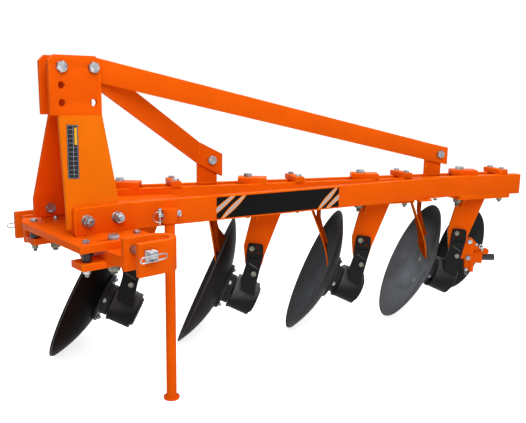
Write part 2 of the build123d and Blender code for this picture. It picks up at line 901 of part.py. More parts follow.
last_leg = leg_frame(disc_count - 1)
leg_back = leg_side + leg_t
sleeve_mid = wheel_centre - wheel_dir * ((axle_sleeve_near + axle_sleeve_far) / 2)
sleeve_local = last_leg.to_local_coords(sleeve_mid)
spindle_z = base_top - spindle_drop
spindle_foot = last_leg.from_local_coords((0, leg_back + spindle_box / 2, spindle_z))
spindle_plane = Plane(origin=spindle_foot, z_dir=last_leg.x_dir)
with BuildPart() as wheel_bracket:
    with BuildSketch(last_leg.offset(base_top - wheel_arm_drop - wheel_arm_h)):
        with BuildLine():
            Polyline(
                (wheel_arm_at, leg_back),
                (wheel_arm_at + wheel_arm_t, leg_back),
                (sleeve_local.X + wheel_arm_t / 2, sleeve_local.Y),
                (sleeve_local.X - wheel_arm_t / 2, sleeve_local.Y),
                close=True,
            )
        make_face()
    extrude(amount=wheel_arm_h)
    with BuildSketch(last_leg.offset(spindle_z - spindle_box / 2)):
        with Locations(((spindle_box_start + spindle_box_end) / 2, leg_back + spindle_box / 2)):
            Rectangle(spindle_box_end - spindle_box_start, spindle_box)
    extrude(amount=spindle_box)
    with BuildSketch(Plane(origin=wheel_centre - wheel_dir * axle_sleeve_near, z_dir=wheel_dir)):
        Circle(axle_sleeve_r)
    extrude(amount=axle_sleeve_near - axle_sleeve_far)
    with BuildSketch(Plane(origin=wheel_centre - wheel_dir * axle_near, z_dir=wheel_dir)):
        Circle(axle_r + seat_gap)
    extrude(amount=axle_near, mode=Mode.SUBTRACT)
    with BuildSketch(spindle_plane.offset(spindle_start)):
        Circle(spindle_r + seat_gap)
    extrude(amount=spindle_end - spindle_start, mode=Mode.SUBTRACT)
wheel_bracket.part.label = "wheel_bracket"
export_step(wheel_bracket.part, "parts/wheel_bracket.step")

with BuildPart() as wheel_spindle:
    with BuildSketch(spindle_plane.offset(spindle_start)):
        Circle(spindle_r)
    extrude(amount=spindle_end - spindle_start)
wheel_spindle.part.label = "wheel_spindle"
export_step(wheel_spindle.part, "parts/wheel_spindle.step")
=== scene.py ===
import bpy
import bmesh
import json
import numpy as np
from math import cos, sin, radians, pi, sqrt
from mathutils import Matrix, Vector


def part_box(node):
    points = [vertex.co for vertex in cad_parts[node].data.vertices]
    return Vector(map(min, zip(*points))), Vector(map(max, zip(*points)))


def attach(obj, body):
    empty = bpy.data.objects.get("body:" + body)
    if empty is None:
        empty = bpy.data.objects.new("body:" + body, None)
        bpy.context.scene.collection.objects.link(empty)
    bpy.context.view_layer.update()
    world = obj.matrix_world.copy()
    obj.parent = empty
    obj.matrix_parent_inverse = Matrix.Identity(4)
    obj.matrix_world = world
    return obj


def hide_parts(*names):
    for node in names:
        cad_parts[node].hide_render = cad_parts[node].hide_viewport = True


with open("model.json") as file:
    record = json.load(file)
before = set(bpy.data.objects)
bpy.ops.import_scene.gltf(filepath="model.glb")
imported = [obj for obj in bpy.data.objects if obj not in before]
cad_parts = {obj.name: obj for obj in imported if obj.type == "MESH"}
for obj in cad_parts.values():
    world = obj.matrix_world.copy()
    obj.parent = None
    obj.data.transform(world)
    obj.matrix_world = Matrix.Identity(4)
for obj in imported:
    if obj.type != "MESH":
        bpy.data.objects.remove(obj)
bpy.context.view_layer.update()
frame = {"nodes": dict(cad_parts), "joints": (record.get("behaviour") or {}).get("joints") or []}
nodes = frame["nodes"]
joints = {joint["name"]: joint for joint in frame["joints"]}
print("frame loaded:", len(nodes), "nodes")

# places, in metres and degrees
layout = {
    "mastInset": (0.247, 0.050),     # the mast's middle and front bolt, from the base plate's edges
    "firstBolt": (0.244, -0.371),    # the first leg's pivot bolt, from the mast
    "beamTurn": 21,                  # the main beam, from straight back
    "discTurn": 42,                  # the legs' planes and the discs' axles, from straight back
    "legPitch": 0.570,               # from leg to leg along the main beam
    "slantFrom": (-0.103, -0.200),   # front end of the near beam's outer face, from the mast
    "slantTo": (1.584, -0.083),      # its rear end, along the main beam and to its far side
}
legs = range(4)
baseLow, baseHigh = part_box("base_plate")
hitchX = baseLow.x + layout["mastInset"][0]
hitchY = baseHigh.y - layout["mastInset"][1]
baseTop = baseHigh.z
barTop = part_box("main_beam")[1].z
up = np.array([0.0, 0.0, 1.0])
nearX, farX = np.array([-1.0, 0, 0]), np.array([1.0, 0, 0])


def turned(degrees):
    # two level directions: straight back turned by the angle, and square to that on the far side
    angle = radians(degrees)
    return np.array([-sin(angle), -cos(angle), 0.0]), np.array([cos(angle), -sin(angle), 0.0])


beamBack, beamFar = turned(layout["beamTurn"])
discBack, discFar = turned(layout["discTurn"])


def carried(start, *moves):
    # start + the sum of amount * direction, for single amounts or whole arrays of them
    return start + sum(np.multiply.outer(amount, direction) for amount, direction in moves)


def at(x, y, z):
    # point to the far side and forward of the mast, at height z
    return np.array([hitchX + x, hitchY + y, z])


def onBeam(s, t, z):
    # point s rearward along the main beam from the first pivot bolt and t to its far side
    return carried(at(*layout["firstBolt"], 0), (s, beamBack), (t, beamFar), (z, up))


def onLeg(k, a, h, z):
    # point a rearward along leg k's plane and h to its far side
    return carried(onBeam(layout["legPitch"] * k, 0, 0), (a, discBack), (h, discFar), (z, up))


slantStart = at(*layout["slantFrom"], 0)
slantDir = onBeam(*layout["slantTo"], 0) - slantStart
slantDir = slantDir / np.linalg.norm(slantDir)
slantOut = np.array([slantDir[1], -slantDir[0], 0.0])            # out of the near beam's outer face


def onSlant(along, out, z):
    # point along the near beam's outer face and out of it
    return carried(slantStart, (along, slantDir), (out, slantOut), (z, up))


# mesh makers
def gridFaces(rows, columns, wrapRows, wrapColumns, start):
    # quad (i, j) joins grid point (i, j) to its neighbours, counted modulo where the grid wraps
    firsts = np.arange(rows - (not wrapRows)), np.arange(columns - (not wrapColumns))
    i, j = np.meshgrid(*firsts, indexing="ij")
    nextI, nextJ = (i + 1) % rows, (j + 1) % columns
    quads = [i * columns + j, i * columns + nextJ, nextI * columns + nextJ, nextI * columns + j]
    return start + np.stack(quads, -1).reshape(-1, 4)


def surfacePiece(name, patches, body, finish, sharp=32):
    # one mesh from several grids, each (points, wrapRows, wrapColumns), with doubled points merged
    merge = 1e-5
    vertices, faces, start = [], [], 0
    for points, wrapRows, wrapColumns in patches:
        rows, columns = points.shape[:2]
        vertices.append(points.reshape(-1, 3))
        faces.append(gridFaces(rows, columns, wrapRows, wrapColumns, start))
        start += rows * columns
    mesh = bpy.data.meshes.new(name)
    mesh.from_pydata(np.concatenate(vertices), [], np.concatenate(faces))
    work = bmesh.new()
    work.from_mesh(mesh)
    bmesh.ops.remove_doubles(work, verts=work.verts, dist=merge)
    bmesh.ops.dissolve_degenerate(work, edges=work.edges, dist=merge / 2)
    bmesh.ops.recalc_face_normals(work, faces=work.faces)
    work.to_mesh(mesh)
    work.free()
    mesh.polygons.foreach_set("use_smooth", np.ones(len(mesh.polygons), bool))
    mesh.set_sharp_from_angle(angle=radians(sharp))
    mesh.materials.append(finish)
    piece = bpy.data.objects.new(name, mesh)
    bpy.context.scene.collection.objects.link(piece)
    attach(piece, body)
    return piece


def basis(axis, spin=0.0):
    # the axis and two directions square to it, turned round it by spin
    axis = np.asarray(axis, float) / np.linalg.norm(axis)
    first = np.cross(axis, up if abs(axis[2]) < 0.9 else farX)
    first /= np.linalg.norm(first)
    second = np.cross(axis, first)
    return axis, first * cos(spin) + second * sin(spin), second * cos(spin) - first * sin(spin)


def ringsAbout(place, directions, height, reach, angle):
    # point(i, a) = place + height_i * axis + reach(i, a) * (cos a * first + sin a * second)
    axis, first, second = directions
    circle = np.cos(angle)[:, None] * first + np.sin(angle)[:, None] * second
    return np.asarray(place) + height[:, None, None] * axis + reach[..., None] * circle


def capped(points):
    # the rings, with the first and the last one closed at its middle
    middles = points.mean(1, keepdims=True).repeat(points.shape[1], 1)
    return np.concatenate([middles[:1], points, middles[-1:]])


def lathe(profile, place, axis, around=24, spin=0.0, sides=6):
    # each (radius, height, share) of the profile is a ring of radius * k(a), where k blends by the share
    # from 1, a circle, to 1 / cos(a mod w - w / 2), a shape of sides that each span w; no share means 0
    radius, height, flatShare = np.array([(*row, 0)[:3] for row in profile], float).T
    angle = np.linspace(0, 2 * pi, around, endpoint=False)
    corner = 1 / np.cos(np.mod(angle, 2 * pi / sides) - pi / sides)
    reach = radius[:, None] * (1 + flatShare[:, None] * (corner - 1))
    return ringsAbout(place, basis(axis, spin), height, reach, angle), False, True


def thread(place, axis, radius, length, pitch, around=16):
    # radius(a, h) = radius - depth * |saw(h / pitch - a / turn)|, closed by a chamfered end
    depth, chamfer = 0.55 * pitch, 0.0015
    height = np.linspace(0, length, max(6, int(length / pitch * 4)))
    angle = np.linspace(0, 2 * pi, around, endpoint=False)
    saw = np.abs(np.mod(height[:, None] / pitch - angle / (2 * pi), 1.0) * 2 - 1)
    reach = np.minimum(radius - depth * saw, radius - np.clip(height[:, None] - length + chamfer, 0, 1))
    return capped(ringsAbout(place, basis(axis), height, reach, angle)), False, True


def tube(path, radius, side, around=10, closed=False):
    # circle of the radius carried along the path; side is a direction square to the path's plane
    path, side = np.asarray(path, float), np.asarray(side, float)
    along = np.roll(path, -1, 0) - np.roll(path, 1, 0) if closed else np.gradient(path, axis=0)
    along /= np.linalg.norm(along, axis=1, keepdims=True)
    side = side - (along @ side)[:, None] * along
    side /= np.linalg.norm(side, axis=1, keepdims=True)
    other = np.cross(along, side)
    angle = np.linspace(0, 2 * pi, around, endpoint=False)
    radius = np.broadcast_to(np.asarray(radius, float), (len(path),))
    ring = np.cos(angle)[None, :, None] * side[:, None] + np.sin(angle)[None, :, None] * other[:, None]
    points = path[:, None] + radius[:, None, None] * ring
    return points if closed else capped(points), closed, True


def slab(corners, thick, outward, edge=0.0015):
    # outline carried outward by thick, its last ring drawn in by the edge; both ends closed at the middle
    corners, outward = np.asarray(corners, float), np.asarray(outward, float)
    middle = corners.mean(0)
    inward = middle - corners
    inward = inward / np.linalg.norm(inward, axis=1, keepdims=True)
    ends = [np.repeat(point[None], len(corners), 0) for point in (middle, middle + outward * thick)]
    drawn = corners + outward * thick + inward * edge * 1.4
    return np.array([ends[0], corners, corners + outward * (thick - edge), drawn, ends[1]]), False, True


def weldBead(path, side, size=0.005):
    # a tube along the path whose radius swells once every pitch, as a weld's ripples do, with tapered ends
    pitch, ripple, unevenness = 0.006, 0.14, 0.08
    path = np.asarray(path, float)
    length = np.concatenate([[0], np.cumsum(np.linalg.norm(np.diff(path, axis=0), axis=1))])
    s = np.linspace(0, length[-1], max(8, int(length[-1] / pitch * 3)))
    dense = np.stack([np.interp(s, length, path[:, c]) for c in range(3)], 1)
    wobble = 1 + ripple * np.abs(np.sin(pi * s / pitch)) + unevenness * np.sin(s * 131)
    taper = np.clip(np.minimum(s, length[-1] - s) / (2 * size), 0.35, 1)
    return tube(dense, size * wobble * taper, side, 8)


# helpers for finishes
def finishBase(name, rough, metal=0.0):
    material = bpy.data.materials.new(name)
    material.use_nodes = True
    tree = material.node_tree
    shader = tree.nodes["Principled BSDF"]
    shader.inputs["Roughness"].default_value = rough
    shader.inputs["Metallic"].default_value = metal
    place = tree.nodes.new("ShaderNodeTexCoord")
    return material, tree, shader, place.outputs["Object"]


def noise(tree, place, scale, detail=3.0):
    node = tree.nodes.new("ShaderNodeTexNoise")
    node.inputs["Scale"].default_value = scale
    node.inputs["Detail"].default_value = detail
    tree.links.new(place, node.inputs["Vector"])
    return node.outputs["Fac"]


def ramp(tree, value, low, lowColour, high, highColour):
    # lowColour up to the value low, then blending into highColour at the value high
    node = tree.nodes.new("ShaderNodeValToRGB")
    for element, position, colour in zip(node.color_ramp.elements, (low, high), (lowColour, highColour)):
        element.position = position
        element.color = (*colour, 1)
    tree.links.new(value, node.inputs["Fac"])
    return node.outputs["Color"]


def mapRange(tree, value, low, high, toLow, toHigh):
    node = tree.nodes.new("ShaderNodeMapRange")
    for socket, number in zip(("From Min", "From Max", "To Min", "To Max"), (low, high, toLow, toHigh)):
        node.inputs[socket].default_value = number
    tree.links.new(value, node.inputs["Value"])
    return node.outputs["Result"]


def roughen(tree, shader, value, low, high):
    # roughness runs from low to high as the noise runs over its middle
    tree.links.new(mapRange(tree, value, 0.3, 0.7, low, high), shader.inputs["Roughness"])


def bump(tree, shader, height, strength, distance):
    node = tree.nodes.new("ShaderNodeBump")
    node.inputs["Strength"].default_value = strength
    node.inputs["Distance"].default_value = distance
    tree.links.new(height, node.inputs["Height"])
    tree.links.new(node.outputs["Normal"], shader.inputs["Normal"])


def compute(tree, operation, *values):
    # one sum on values that are each a number or another node's output
    node = tree.nodes.new("ShaderNodeMath")
    node.operation = operation
    for socket, value in zip(node.inputs, values):
        if hasattr(value, "is_output"):
            tree.links.new(value, socket)
        else:
            socket.default_value = value
    return node.outputs["Value"]


def blend(tree, factor, first, second):
    # colour = first * (1 - factor) + second * factor, each colour three numbers or another node's output
    node = tree.nodes.new("ShaderNodeMix")
    node.data_type = "RGBA"
    tree.links.new(factor, node.inputs["Factor"])
    for socket, colour in (("A", first), ("B", second)):
        if hasattr(colour, "is_output"):
            tree.links.new(colour, node.inputs[socket])
        else:
            node.inputs[socket].default_value = (*colour, 1)
    return node.outputs["Result"]


def splitAxes(tree, vector):
    # the vector's X, Y and Z
    node = tree.nodes.new("ShaderNodeSeparateXYZ")
    tree.links.new(vector, node.inputs["Vector"])
    return [node.outputs[axis] for axis in "XYZ"]


def aroundAxle(tree, place, joint):
    # distance from the joint's axle: sqrt(x^2 + y^2) where z runs along the axle
    axis = Vector(joint["axis"]).normalized()
    turn = tree.nodes.new("ShaderNodeMapping")
    turn.vector_type = "TEXTURE"
    turn.inputs["Location"].default_value = Vector(joint["pos_m"])
    turn.inputs["Rotation"].default_value = axis.to_track_quat("Z", "Y").to_euler()
    tree.links.new(place, turn.inputs["Vector"])
    x, y, _ = splitAxes(tree, turn.outputs["Vector"])
    squares = compute(tree, "ADD", compute(tree, "POWER", x, 2), compute(tree, "POWER", y, 2))
    return compute(tree, "SQRT", squares)


def brighter(colour, lift):
    return tuple(c * lift for c in colour)


# orange paint
paint = {
    "orange": (0.80, 0.105, 0.002),
    "worn": (0.72, 0.090, 0.002),
    "edge": (0.92, 0.21, 0.003),     # painted highlight on bevelled edges
    "rough": (0.30, 0.42),
    "peel": 0.10,
    "gloss": 0.014,
    "fold": (1.109, 1.113),          # heights over which the mast's plates fold, where their painted light changes
}


def paintTones(tree, place, lift):
    # two close tones clouded by noise; lift scales their green and blue as painted light or shade, and above
    # 1 the orange is yellower
    worn, full = [(red, *brighter(rest, lift)) for red, *rest in (paint["worn"], paint["orange"])]
    return ramp(tree, noise(tree, place, 5, 4), 0.3, worn, 0.65, full)


def orangeFinish(name, lift=1.0, paintedLightAbove=None):
    # clouded orange under a fine orange peel; a lift other than 1 paints light or shade into the orange, and
    # the second lift is the painted light above the fold of the mast's plates
    material, tree, shader, place = finishBase(name, 0.36)
    colour = paintTones(tree, place, lift)
    if paintedLightAbove:
        above = mapRange(tree, splitAxes(tree, place)[2], *paint["fold"], 0, 1)
        colour = blend(tree, above, colour, paintTones(tree, place, paintedLightAbove))
    tree.links.new(colour, shader.inputs["Base Color"])
    roughen(tree, shader, noise(tree, place, 40, 4), *paint["rough"])
    shader.inputs["Specular IOR Level"].default_value = paint["gloss"]
    bump(tree, shader, noise(tree, place, 320, 2), paint["peel"], 0.0006)
    return material


# disc steel
discLook = {
    "face": (0.022, 0.025, 0.029),
    "dark": (0.010, 0.010, 0.010),
    "paintedLightLifts": {1: 0.20, 2: 1.2, 3: 2.9, 4: 7.0},  # painted light and shade: how much brighter each disc is painted
    "tint": (0.022, 0.009, 0.005),   # brown towards the rim
    "tintShare": 0.8,
    "tintFrom": (0.18, 0.33),        # distances from the axle over which the brown comes in
    "stain": (0.006, 0.0035, 0.003),  # painted shade on the upper part
    "stainShare": 0.85,
    "stainFrom": (0.36, 0.52),       # heights over which the painted shade comes in
    "rough": (0.34, 0.48),
    "gloss": 0.004,
}


def discFinish(name, joint, lift=1.0, stained=True):
    # rings round the disc's own axle: the distance from the axle drives fine marks and the rim's brown tint;
    # the height paints shade on the upper part, and lift paints the disc lighter or darker
    material, tree, shader, place = finishBase(name, 0.42)
    radius = aroundAxle(tree, place, joint)
    rings = tree.nodes.new("ShaderNodeTexNoise")
    rings.noise_dimensions = "1D"
    rings.inputs["Scale"].default_value = 220
    rings.inputs["Detail"].default_value = 4
    tree.links.new(radius, rings.inputs["W"])
    clouds = noise(tree, place, 7, 5)
    softClouds = compute(tree, "MULTIPLY", clouds, 0.7)
    mixed = compute(tree, "ADD", softClouds, compute(tree, "MULTIPLY", rings.outputs["Fac"], 0.3))
    colour = ramp(tree, mixed, 0.3, brighter(discLook["dark"], lift), 0.7, brighter(discLook["face"], lift))
    if stained:
        rim = mapRange(tree, radius, *discLook["tintFrom"], 0, discLook["tintShare"])
        colour = blend(tree, compute(tree, "MULTIPLY", rim, clouds), colour, discLook["tint"])
        # painted shade: darker towards the top of the dish, where the beam shades it
        height = splitAxes(tree, place)[2]
        shadedUpper = mapRange(tree, height, *discLook["stainFrom"], 0, discLook["stainShare"])
        colour = blend(tree, shadedUpper, colour, discLook["stain"])
    tree.links.new(colour, shader.inputs["Base Color"])
    roughen(tree, shader, clouds, *discLook["rough"])
    shader.inputs["Specular IOR Level"].default_value = discLook["gloss"]
    bump(tree, shader, rings.outputs["Fac"], 0.08, 0.0006)
    return material


# bearing housings and their brackets
hangerLook = {
    "cast": (0.140, 0.140, 0.146),
    "castDark": (0.100, 0.100, 0.104),
    "paintedLightLifts": {1: 1.1, 2: 1.7, 3: 1.0, 4: 0.9},   # painted light and shade: how much brighter each housing is painted
    "plate": (0.012, 0.012, 0.013),
    "drum": (0.100, 0.104),          # distances from the axle over which the cast drum ends
    "paintedUnderShade": (0.012, 0.012, 0.013),  # painted shade on the underside
    "paintedUnderShadeTo": (0.215, 0.335),       # heights over which it goes
    "rough": (0.40, 0.54),
    "gloss": 0.06,
}


def hangerFinish(name, joint, lift):
    # rough cast iron within the drum's radius of the axle, smooth black paint on the plate outside it; the
    # drum's underside is painted shade, and lift paints each housing lighter or darker
    material, tree, shader, place = finishBase(name, 0.46)
    outside = mapRange(tree, aroundAxle(tree, place, joint), *hangerLook["drum"], 0, 1)
    castDark, cast = [brighter(hangerLook[key], lift) for key in ("castDark", "cast")]
    clouded = ramp(tree, noise(tree, place, 24, 4), 0.35, castDark, 0.65, cast)
    lit = mapRange(tree, splitAxes(tree, place)[2], *hangerLook["paintedUnderShadeTo"], 0, 1)
    shaded = blend(tree, lit, hangerLook["paintedUnderShade"], clouded)
    tree.links.new(blend(tree, outside, shaded, hangerLook["plate"]), shader.inputs["Base Color"])
    roughen(tree, shader, noise(tree, place, 60, 3), *hangerLook["rough"])
    shader.inputs["Specular IOR Level"].default_value = hangerLook["gloss"]
    bump(tree, shader, noise(tree, place, 260, 3), 0.3, 0.0005)
    return material


# plain finishes
plainLooks = {  # colour, darker tone, roughness, metal, fineness of the grain, its strength, gloss
    # the scrapers' orange is darker than the frame's, as painted shade
    "bladeShadePaint": ((0.36, 0.045, 0.001), (0.30, 0.036, 0.001), 0.50, 0.0, 60, 0.10, 0.0),
    "rimSteel": ((0.060, 0.062, 0.065), (0.040, 0.041, 0.043), 0.45, 0.1, 60, 0.10, 0.05),
    "edgeHighlightPaint": (paint["edge"], paint["orange"], 0.50, 0.0, 60, 0.05, 0.0),
    "castBlack": ((0.036, 0.037, 0.038), (0.018, 0.018, 0.019), 0.45, 0.0, 70, 0.40, 0.07),
    "bendShadeBlack": ((0.003, 0.003, 0.003), (0.002, 0.002, 0.002), 0.60, 0.0, 50, 0.20, 0.02),
    "zinc": ((0.44, 0.45, 0.47), (0.20, 0.21, 0.23), 0.30, 0.85, 90, 0.15, 0.35),
    # a darker olive copy of the zinc, painted shade for bolts that sit in shade
    "shadedOliveZinc": ((0.20, 0.21, 0.165), (0.09, 0.095, 0.075), 0.38, 0.7, 90, 0.15, 0.35),
    "darkSteel": ((0.040, 0.039, 0.040), (0.020, 0.020, 0.021), 0.40, 0.4, 90, 0.20, 0.35),
}


def plainFinish(name, colour, dark, rough, metal, grain, strength, gloss):
    # two tones of one colour clouded by noise, with a fine grain in the surface
    material, tree, shader, place = finishBase(name, rough, metal)
    clouded = ramp(tree, noise(tree, place, grain / 3, 4), 0.35, dark, 0.65, colour)
    tree.links.new(clouded, shader.inputs["Base Color"])
    roughen(tree, shader, noise(tree, place, grain, 3), rough - 0.06, rough + 0.08)
    shader.inputs["Specular IOR Level"].default_value = gloss
    bump(tree, shader, noise(tree, place, grain * 4, 3), strength, 0.0005)
    return material


orange = orangeFinish("orangePaint")
# painted light on the near mast plate and painted shade on the far one: a lighter and a darker copy of the
# orange, each with another tone above the fold
litMastOrange = orangeFinish("litMastPaint", 1.55, 0.95)
shadedFarMastOrange = orangeFinish("shadedFarMastPaint", 0.72, 0.90)
plain = {name: plainFinish(name, *look) for name, look in plainLooks.items()}
zinc, shadedOlive = plain["zinc"], plain["shadedOliveZinc"]
discFinishes, hangerFinishes = {}, {}
for k in range(1, 5):
    joint = joints[f"disc_{k}_spin"]
    discFinishes[k] = discFinish(f"discSteel{k}", joint, discLook["paintedLightLifts"][k])
    hangerFinishes[k] = hangerFinish(f"bearingCast{k}", joint, hangerLook["paintedLightLifts"][k])

finishOf = (  # how a node's name starts, its finish
    ("hub_", plain["castBlack"]),
    ("furrow_wheel", discFinish("wheelSteel", joints["furrow_wheel_spin"], stained=False)),
    ("hitch_pin", zinc),
    ("lock_pin", zinc),
    ("mast_pins", zinc),
    ("mast_plate_far", shadedFarMastOrange),
    ("mast_plate", litMastOrange),
    ("bushes", plain["darkSteel"]),
    ("wheel_axle", plain["darkSteel"]),
    ("wheel_spindle", plain["darkSteel"]),
)
edges = {
    "width": {"orange": 0.0022, "disc": 0.0026, "other": 0.0010},
    "segments": 2,
    "sharpFrom": 30,                 # degrees
    "flatTo": 0.5,
    "merge": 1e-5,
}


def finishFor(name):
    if name.startswith("disc_"):
        return discFinishes[int(name[-1])]
    if name.startswith("hanger_"):
        return hangerFinishes[int(name[-1])]
    return next((finish for start, finish in finishOf if name.startswith(start)), orange)


for name, node in nodes.items():
    finish = finishFor(name)
    painted = finish in (orange, litMastOrange, shadedFarMastOrange)
    edge = "orange" if painted else "disc" if name.startswith("disc_") else "other"
    node.data.materials.clear()
    node.data.materials.append(finish)
    # the bevels of painted parts take the painted edge highlight, those of the discs the rim steel
    if edge != "other":
        node.data.materials.append(plain["edgeHighlightPaint" if painted else "rimSteel"])
    merged = node.modifiers.new("merge", "WELD")
    merged.merge_threshold = edges["merge"]
    flat = node.modifiers.new("flat", "DECIMATE")
    flat.decimate_type = "DISSOLVE"
    flat.angle_limit = radians(edges["flatTo"])
    bevel = node.modifiers.new("edges", "BEVEL")
    bevel.width = edges["width"][edge]
    bevel.segments = edges["segments"]
    bevel.material = -1 if edge == "other" else 1
    bevel.limit_method = "ANGLE"
    bevel.angle_limit = radians(edges["sharpFrom"])
    bevel.harden_normals = True
    bevel.use_clamp_overlap = True
    node.data.polygons.foreach_set("use_smooth", np.ones(len(node.data.polygons), bool))
print("finishes set")

# bolts and nuts
boltSizes = {  # across flats, head height, washer radius, washer thickness, shank radius
    "M24": (0.036, 0.015, 0.0215, 0.004, 0.012),
    "M24 wide": (0.038, 0.015, 0.026, 0.005, 0.012),
    "M16": (0.024, 0.010, 0.0160, 0.003, 0.008),
    "M12": (0.019, 0.0078, 0.012, 0.0025, 0.006),
    "M8": (0.013, 0.0053, 0.008, 0.0016, 0.004),
}
nutLook = {"taller": 1.35, "collar": 0.0015, "pitch": 0.003}
boltTurn = 1.3                       # radians from one bolt to the next
boltCount = 0


def bolt(size, place, axis, stud=0.0, washer=False):
    # a hexagon with its corners cut by a cone, on a washer where asked; with a stud it is a nut on a thread
    global boltCount
    flats, tall, washerR, thick, shank = boltSizes[size]
    boltCount += 1
    spin = boltCount * boltTurn
    half = flats / 2
    cut = half * 0.10
    place, axis = np.asarray(place, float), np.asarray(axis, float) / np.linalg.norm(axis)
    patches = []
    if washer:
        ring = [(0, 0), (washerR - 0.0004, 0), (washerR, 0.0005), (washerR, thick - 0.0006)]
        patches.append(lathe(ring + [(washerR - 0.0008, thick), (0, thick)], place, axis))
        place = place + axis * (thick - 0.0002)
    if stud:
        tall *= nutLook["taller"]
        collar = tall + nutLook["collar"]
        rows = [(0, 0), (half * 0.98, 0, 0.5), (half, cut, 1)]
        rows += [(half, tall - cut, 1), (half * 0.98, tall, 0.4)]
        rows += [(shank * 1.25, tall), (shank * 1.2, collar), (0, collar)]
        patches.append(lathe(rows, place, axis, 36, spin))
        patches.append(thread(place + axis * (tall - 0.001), axis, shank, stud, nutLook["pitch"]))
    else:
        rows = [(0, 0), (half, 0, 1), (half, tall - cut, 1), (half * 0.98, tall, 0.4)]
        rows += [(half * 0.80, tall), (half * 0.74, tall - 0.0006), (0, tall - 0.0006)]
        patches.append(lathe(rows, place, axis, 36, spin))
    return patches


# bolts in shade take the darker olive zinc, painted shade
brightBolts, shadedOliveBolts = [], []
mastBolts = {
    "headHalf": 0.046,
    "headY": (0.0, -0.118),
    "headZ": 1.276,
    "headStud": 0.012,
    "footY": (-0.047, -0.165),
    "footZ": 0.746,
    "foot": (  # x, side, stud
        (-0.103, nearX, 0.016),
        (-0.063, farX, 0),
        (0.209, nearX, 0),
        (0.244, farX, 0.014),
    ),
}
for y in mastBolts["headY"]:
    half, height = mastBolts["headHalf"], mastBolts["headZ"]
    brightBolts += bolt("M24", at(-half, y, height), nearX)
    brightBolts += bolt("M24", at(half, y, height), farX, mastBolts["headStud"], True)
for y in mastBolts["footY"]:
    for x, side, stud in mastBolts["foot"]:
        brightBolts += bolt("M24", at(x, y, mastBolts["footZ"]), side, stud, stud > 0)

baseBolts = {
    "nutTop": 0.604,
    "stud": 0.012,
    "places": (  # x, y, size
        (-0.206, 0.009, "M16"),
        (-0.176, -0.204, "M16"),
        (-0.204, -0.095, "M24"),
        (0.240, 0.007, "M16"),
        (0.225, -0.190, "M16"),
        (0.240, -0.075, "M24"),
    ),
}
for x, y, size in baseBolts["places"]:
    brightBolts += bolt(size, at(x, y, baseTop), up)
    nut = bolt(size, at(x, y, baseBolts["nutTop"]), -up, baseBolts["stud"], True)
    if size == "M16" and x < 0:      # the small nuts of the near side are bright; the others take the darker olive zinc as painted shade
        brightBolts += nut
    else:
        shadedOliveBolts += nut

beamBolts = {
    "plateTop": barTop + 0.025,
    "flangeLow": baseTop - 0.020,
    "pivotStud": 0.020,
    "clampAt": 0.228,
    "clampSide": 0.045,
    "clampStud": 0.010,
    "scraperAt": (-0.166, -0.048),
}
scraperFoot = {"thick": 0.012, "firstDrop": 0.025}  # the first foot is lower, under the base plate


def scraperTop(k):
    # height of the face that scraper k's foot is bolted to
    return baseTop - (scraperFoot["firstDrop"] if k == 0 else 0)


for k in legs:
    s = layout["legPitch"] * k
    brightBolts += bolt("M24", onBeam(s, 0, beamBolts["plateTop"]), up)
    shadedOliveBolts += bolt("M24 wide", onBeam(s, 0, beamBolts["flangeLow"]), -up, beamBolts["pivotStud"], True)
    for t in (-beamBolts["clampSide"], beamBolts["clampSide"]):
        top, low = [onBeam(s + beamBolts["clampAt"], t, beamBolts[key]) for key in ("plateTop", "flangeLow")]
        brightBolts += bolt("M16", top, up)
        shadedOliveBolts += bolt("M16", low, -up, beamBolts["clampStud"], True)
    scraperS, scraperT = beamBolts["scraperAt"]
    shadedOliveBolts += bolt("M12", onBeam(s + scraperS, scraperT, scraperTop(k) - scraperFoot["thick"]), -up)

stayBolts = {"along": (0.402, 1.588), "near": 0.002, "far": 0.038, "z": 0.898, "stud": 0.012}
for s in stayBolts["along"]:
    brightBolts += bolt("M24", onBeam(s, stayBolts["near"], stayBolts["z"]), -beamFar)
    brightBolts += bolt("M24", onBeam(s, stayBolts["far"], stayBolts["z"]), beamFar, stayBolts["stud"], True)

bracketBolts = {  # places are back along the leg's plane and up
    "places": ((0.021, 0.477), (0.030, 0.354)),
    "nearFace": 0.036,
    "farFace": 0.075,
    "stud": 0.008,
    "wheelFace": 0.050,
    "wheelPlaces": ((0.097, 0.429, "M16"), (0.093, 0.341, "M16"), (0.135, 0.413, "M8")),
}
for k in legs:
    for a, z in bracketBolts["places"]:
        near, far = [onLeg(k, a, bracketBolts[key], z) for key in ("nearFace", "farFace")]
        shadedOliveBolts += bolt("M16", near, -discFar)
        shadedOliveBolts += bolt("M16", far, discFar, bracketBolts["stud"], True)
for a, z, size in bracketBolts["wheelPlaces"]:
    brightBolts += bolt(size, onLeg(3, a, bracketBolts["wheelFace"], z), -discFar)

surfacePiece("brightBolts", brightBolts, "frame", zinc)
surfacePiece("shadedOliveBolts", shadedOliveBolts, "frame", shadedOlive)

